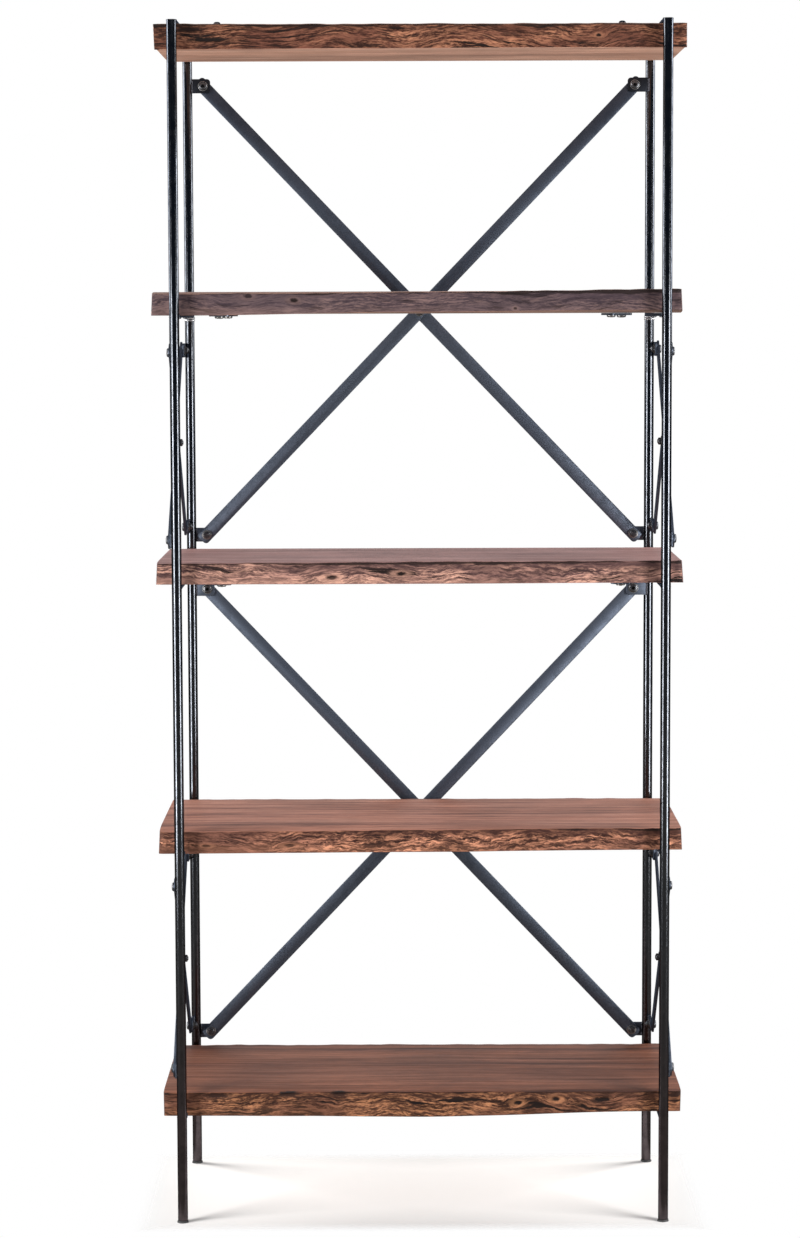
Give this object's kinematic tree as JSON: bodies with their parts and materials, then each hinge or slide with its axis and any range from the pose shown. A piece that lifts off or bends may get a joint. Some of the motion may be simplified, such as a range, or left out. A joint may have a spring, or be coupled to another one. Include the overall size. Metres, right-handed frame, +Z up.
{
  "type": "open bookcase with live-edge shelves",
  "caption": "Tall open bookcase: thick live-edge wooden shelves carried on side rails between round iron posts, with flat X-braces across the back and the sides.",
  "frame": {"origin": "on the floor, at the middle of the bookcase's plan", "axes": "+Z up, +X to the right as seen from the front, the open front faces -Y"},
  "size_m": [1, 0.4638, 2.2878],
  "materials": {
    "iron_frame": "satin blackened gunmetal, slightly worn",
    "brace_bar": "satin blue-grey gunmetal with rolled edges",
    "fastener": "semi-gloss blackened steel",
    "shelf_wood": "satin oiled hardwood with a rough live edge",
    "foot_glide": "matt black"
  },
  "bodies": {
    "root": {"post_front_left": "iron_frame", "foot_front_left": "foot_glide", "post_front_right": "iron_frame", "foot_front_right": "foot_glide", "post_rear_left": "iron_frame", "foot_rear_left": "foot_glide", "post_rear_right": "iron_frame", "foot_rear_right": "foot_glide", "shelf_1": "shelf_wood", "shelf_2": "shelf_wood", "shelf_3": "shelf_wood", "shelf_4": "shelf_wood", "shelf_5": "shelf_wood", "rail_left_1": "iron_frame", "rail_left_2": "iron_frame", "rail_left_3": "iron_frame", "rail_left_4": "iron_frame", "rail_left_5": "iron_frame", "batten_left_1": "iron_frame", "batten_left_2": "iron_frame", "batten_left_3": "iron_frame", "batten_left_4": "iron_frame", "top_bolt_front_left": "fastener", "top_bolt_rear_left": "fastener", "rail_right_1": "iron_frame", "rail_right_2": "iron_frame", "rail_right_3": "iron_frame", "rail_right_4": "iron_frame", "rail_right_5": "iron_frame", "batten_right_1": "iron_frame", "batten_right_2": "iron_frame", "batten_right_3": "iron_frame", "batten_right_4": "iron_frame", "top_bolt_front_right": "fastener", "top_bolt_rear_right": "fastener", "back_brace_lower_falling": "brace_bar", "back_brace_lower_rising": "brace_bar", "back_bolt_lower_top_left": "fastener", "back_bolt_lower_top_right": "fastener", "back_bolt_lower_bottom_left": "fastener", "back_bolt_lower_bottom_right": "fastener", "back_bolt_lower_centre": "fastener", "side_brace_left_lower_inner": "brace_bar", "side_brace_left_lower_outer": "brace_bar", "side_brace_right_lower_inner": "brace_bar", "side_brace_right_lower_outer": "brace_bar", "back_brace_upper_falling": "brace_bar", "back_brace_upper_rising": "brace_bar", "back_bolt_upper_top_left": "fastener", "back_bolt_upper_top_right": "fastener", "back_bolt_upper_bottom_left": "fastener", "back_bolt_upper_bottom_right": "fastener", "back_bolt_upper_centre": "fastener", "side_brace_left_upper_inner": "brace_bar", "side_brace_left_upper_outer": "brace_bar", "side_brace_right_upper_inner": "brace_bar", "side_brace_right_upper_outer": "brace_bar"}
  },
  "joints": []
}
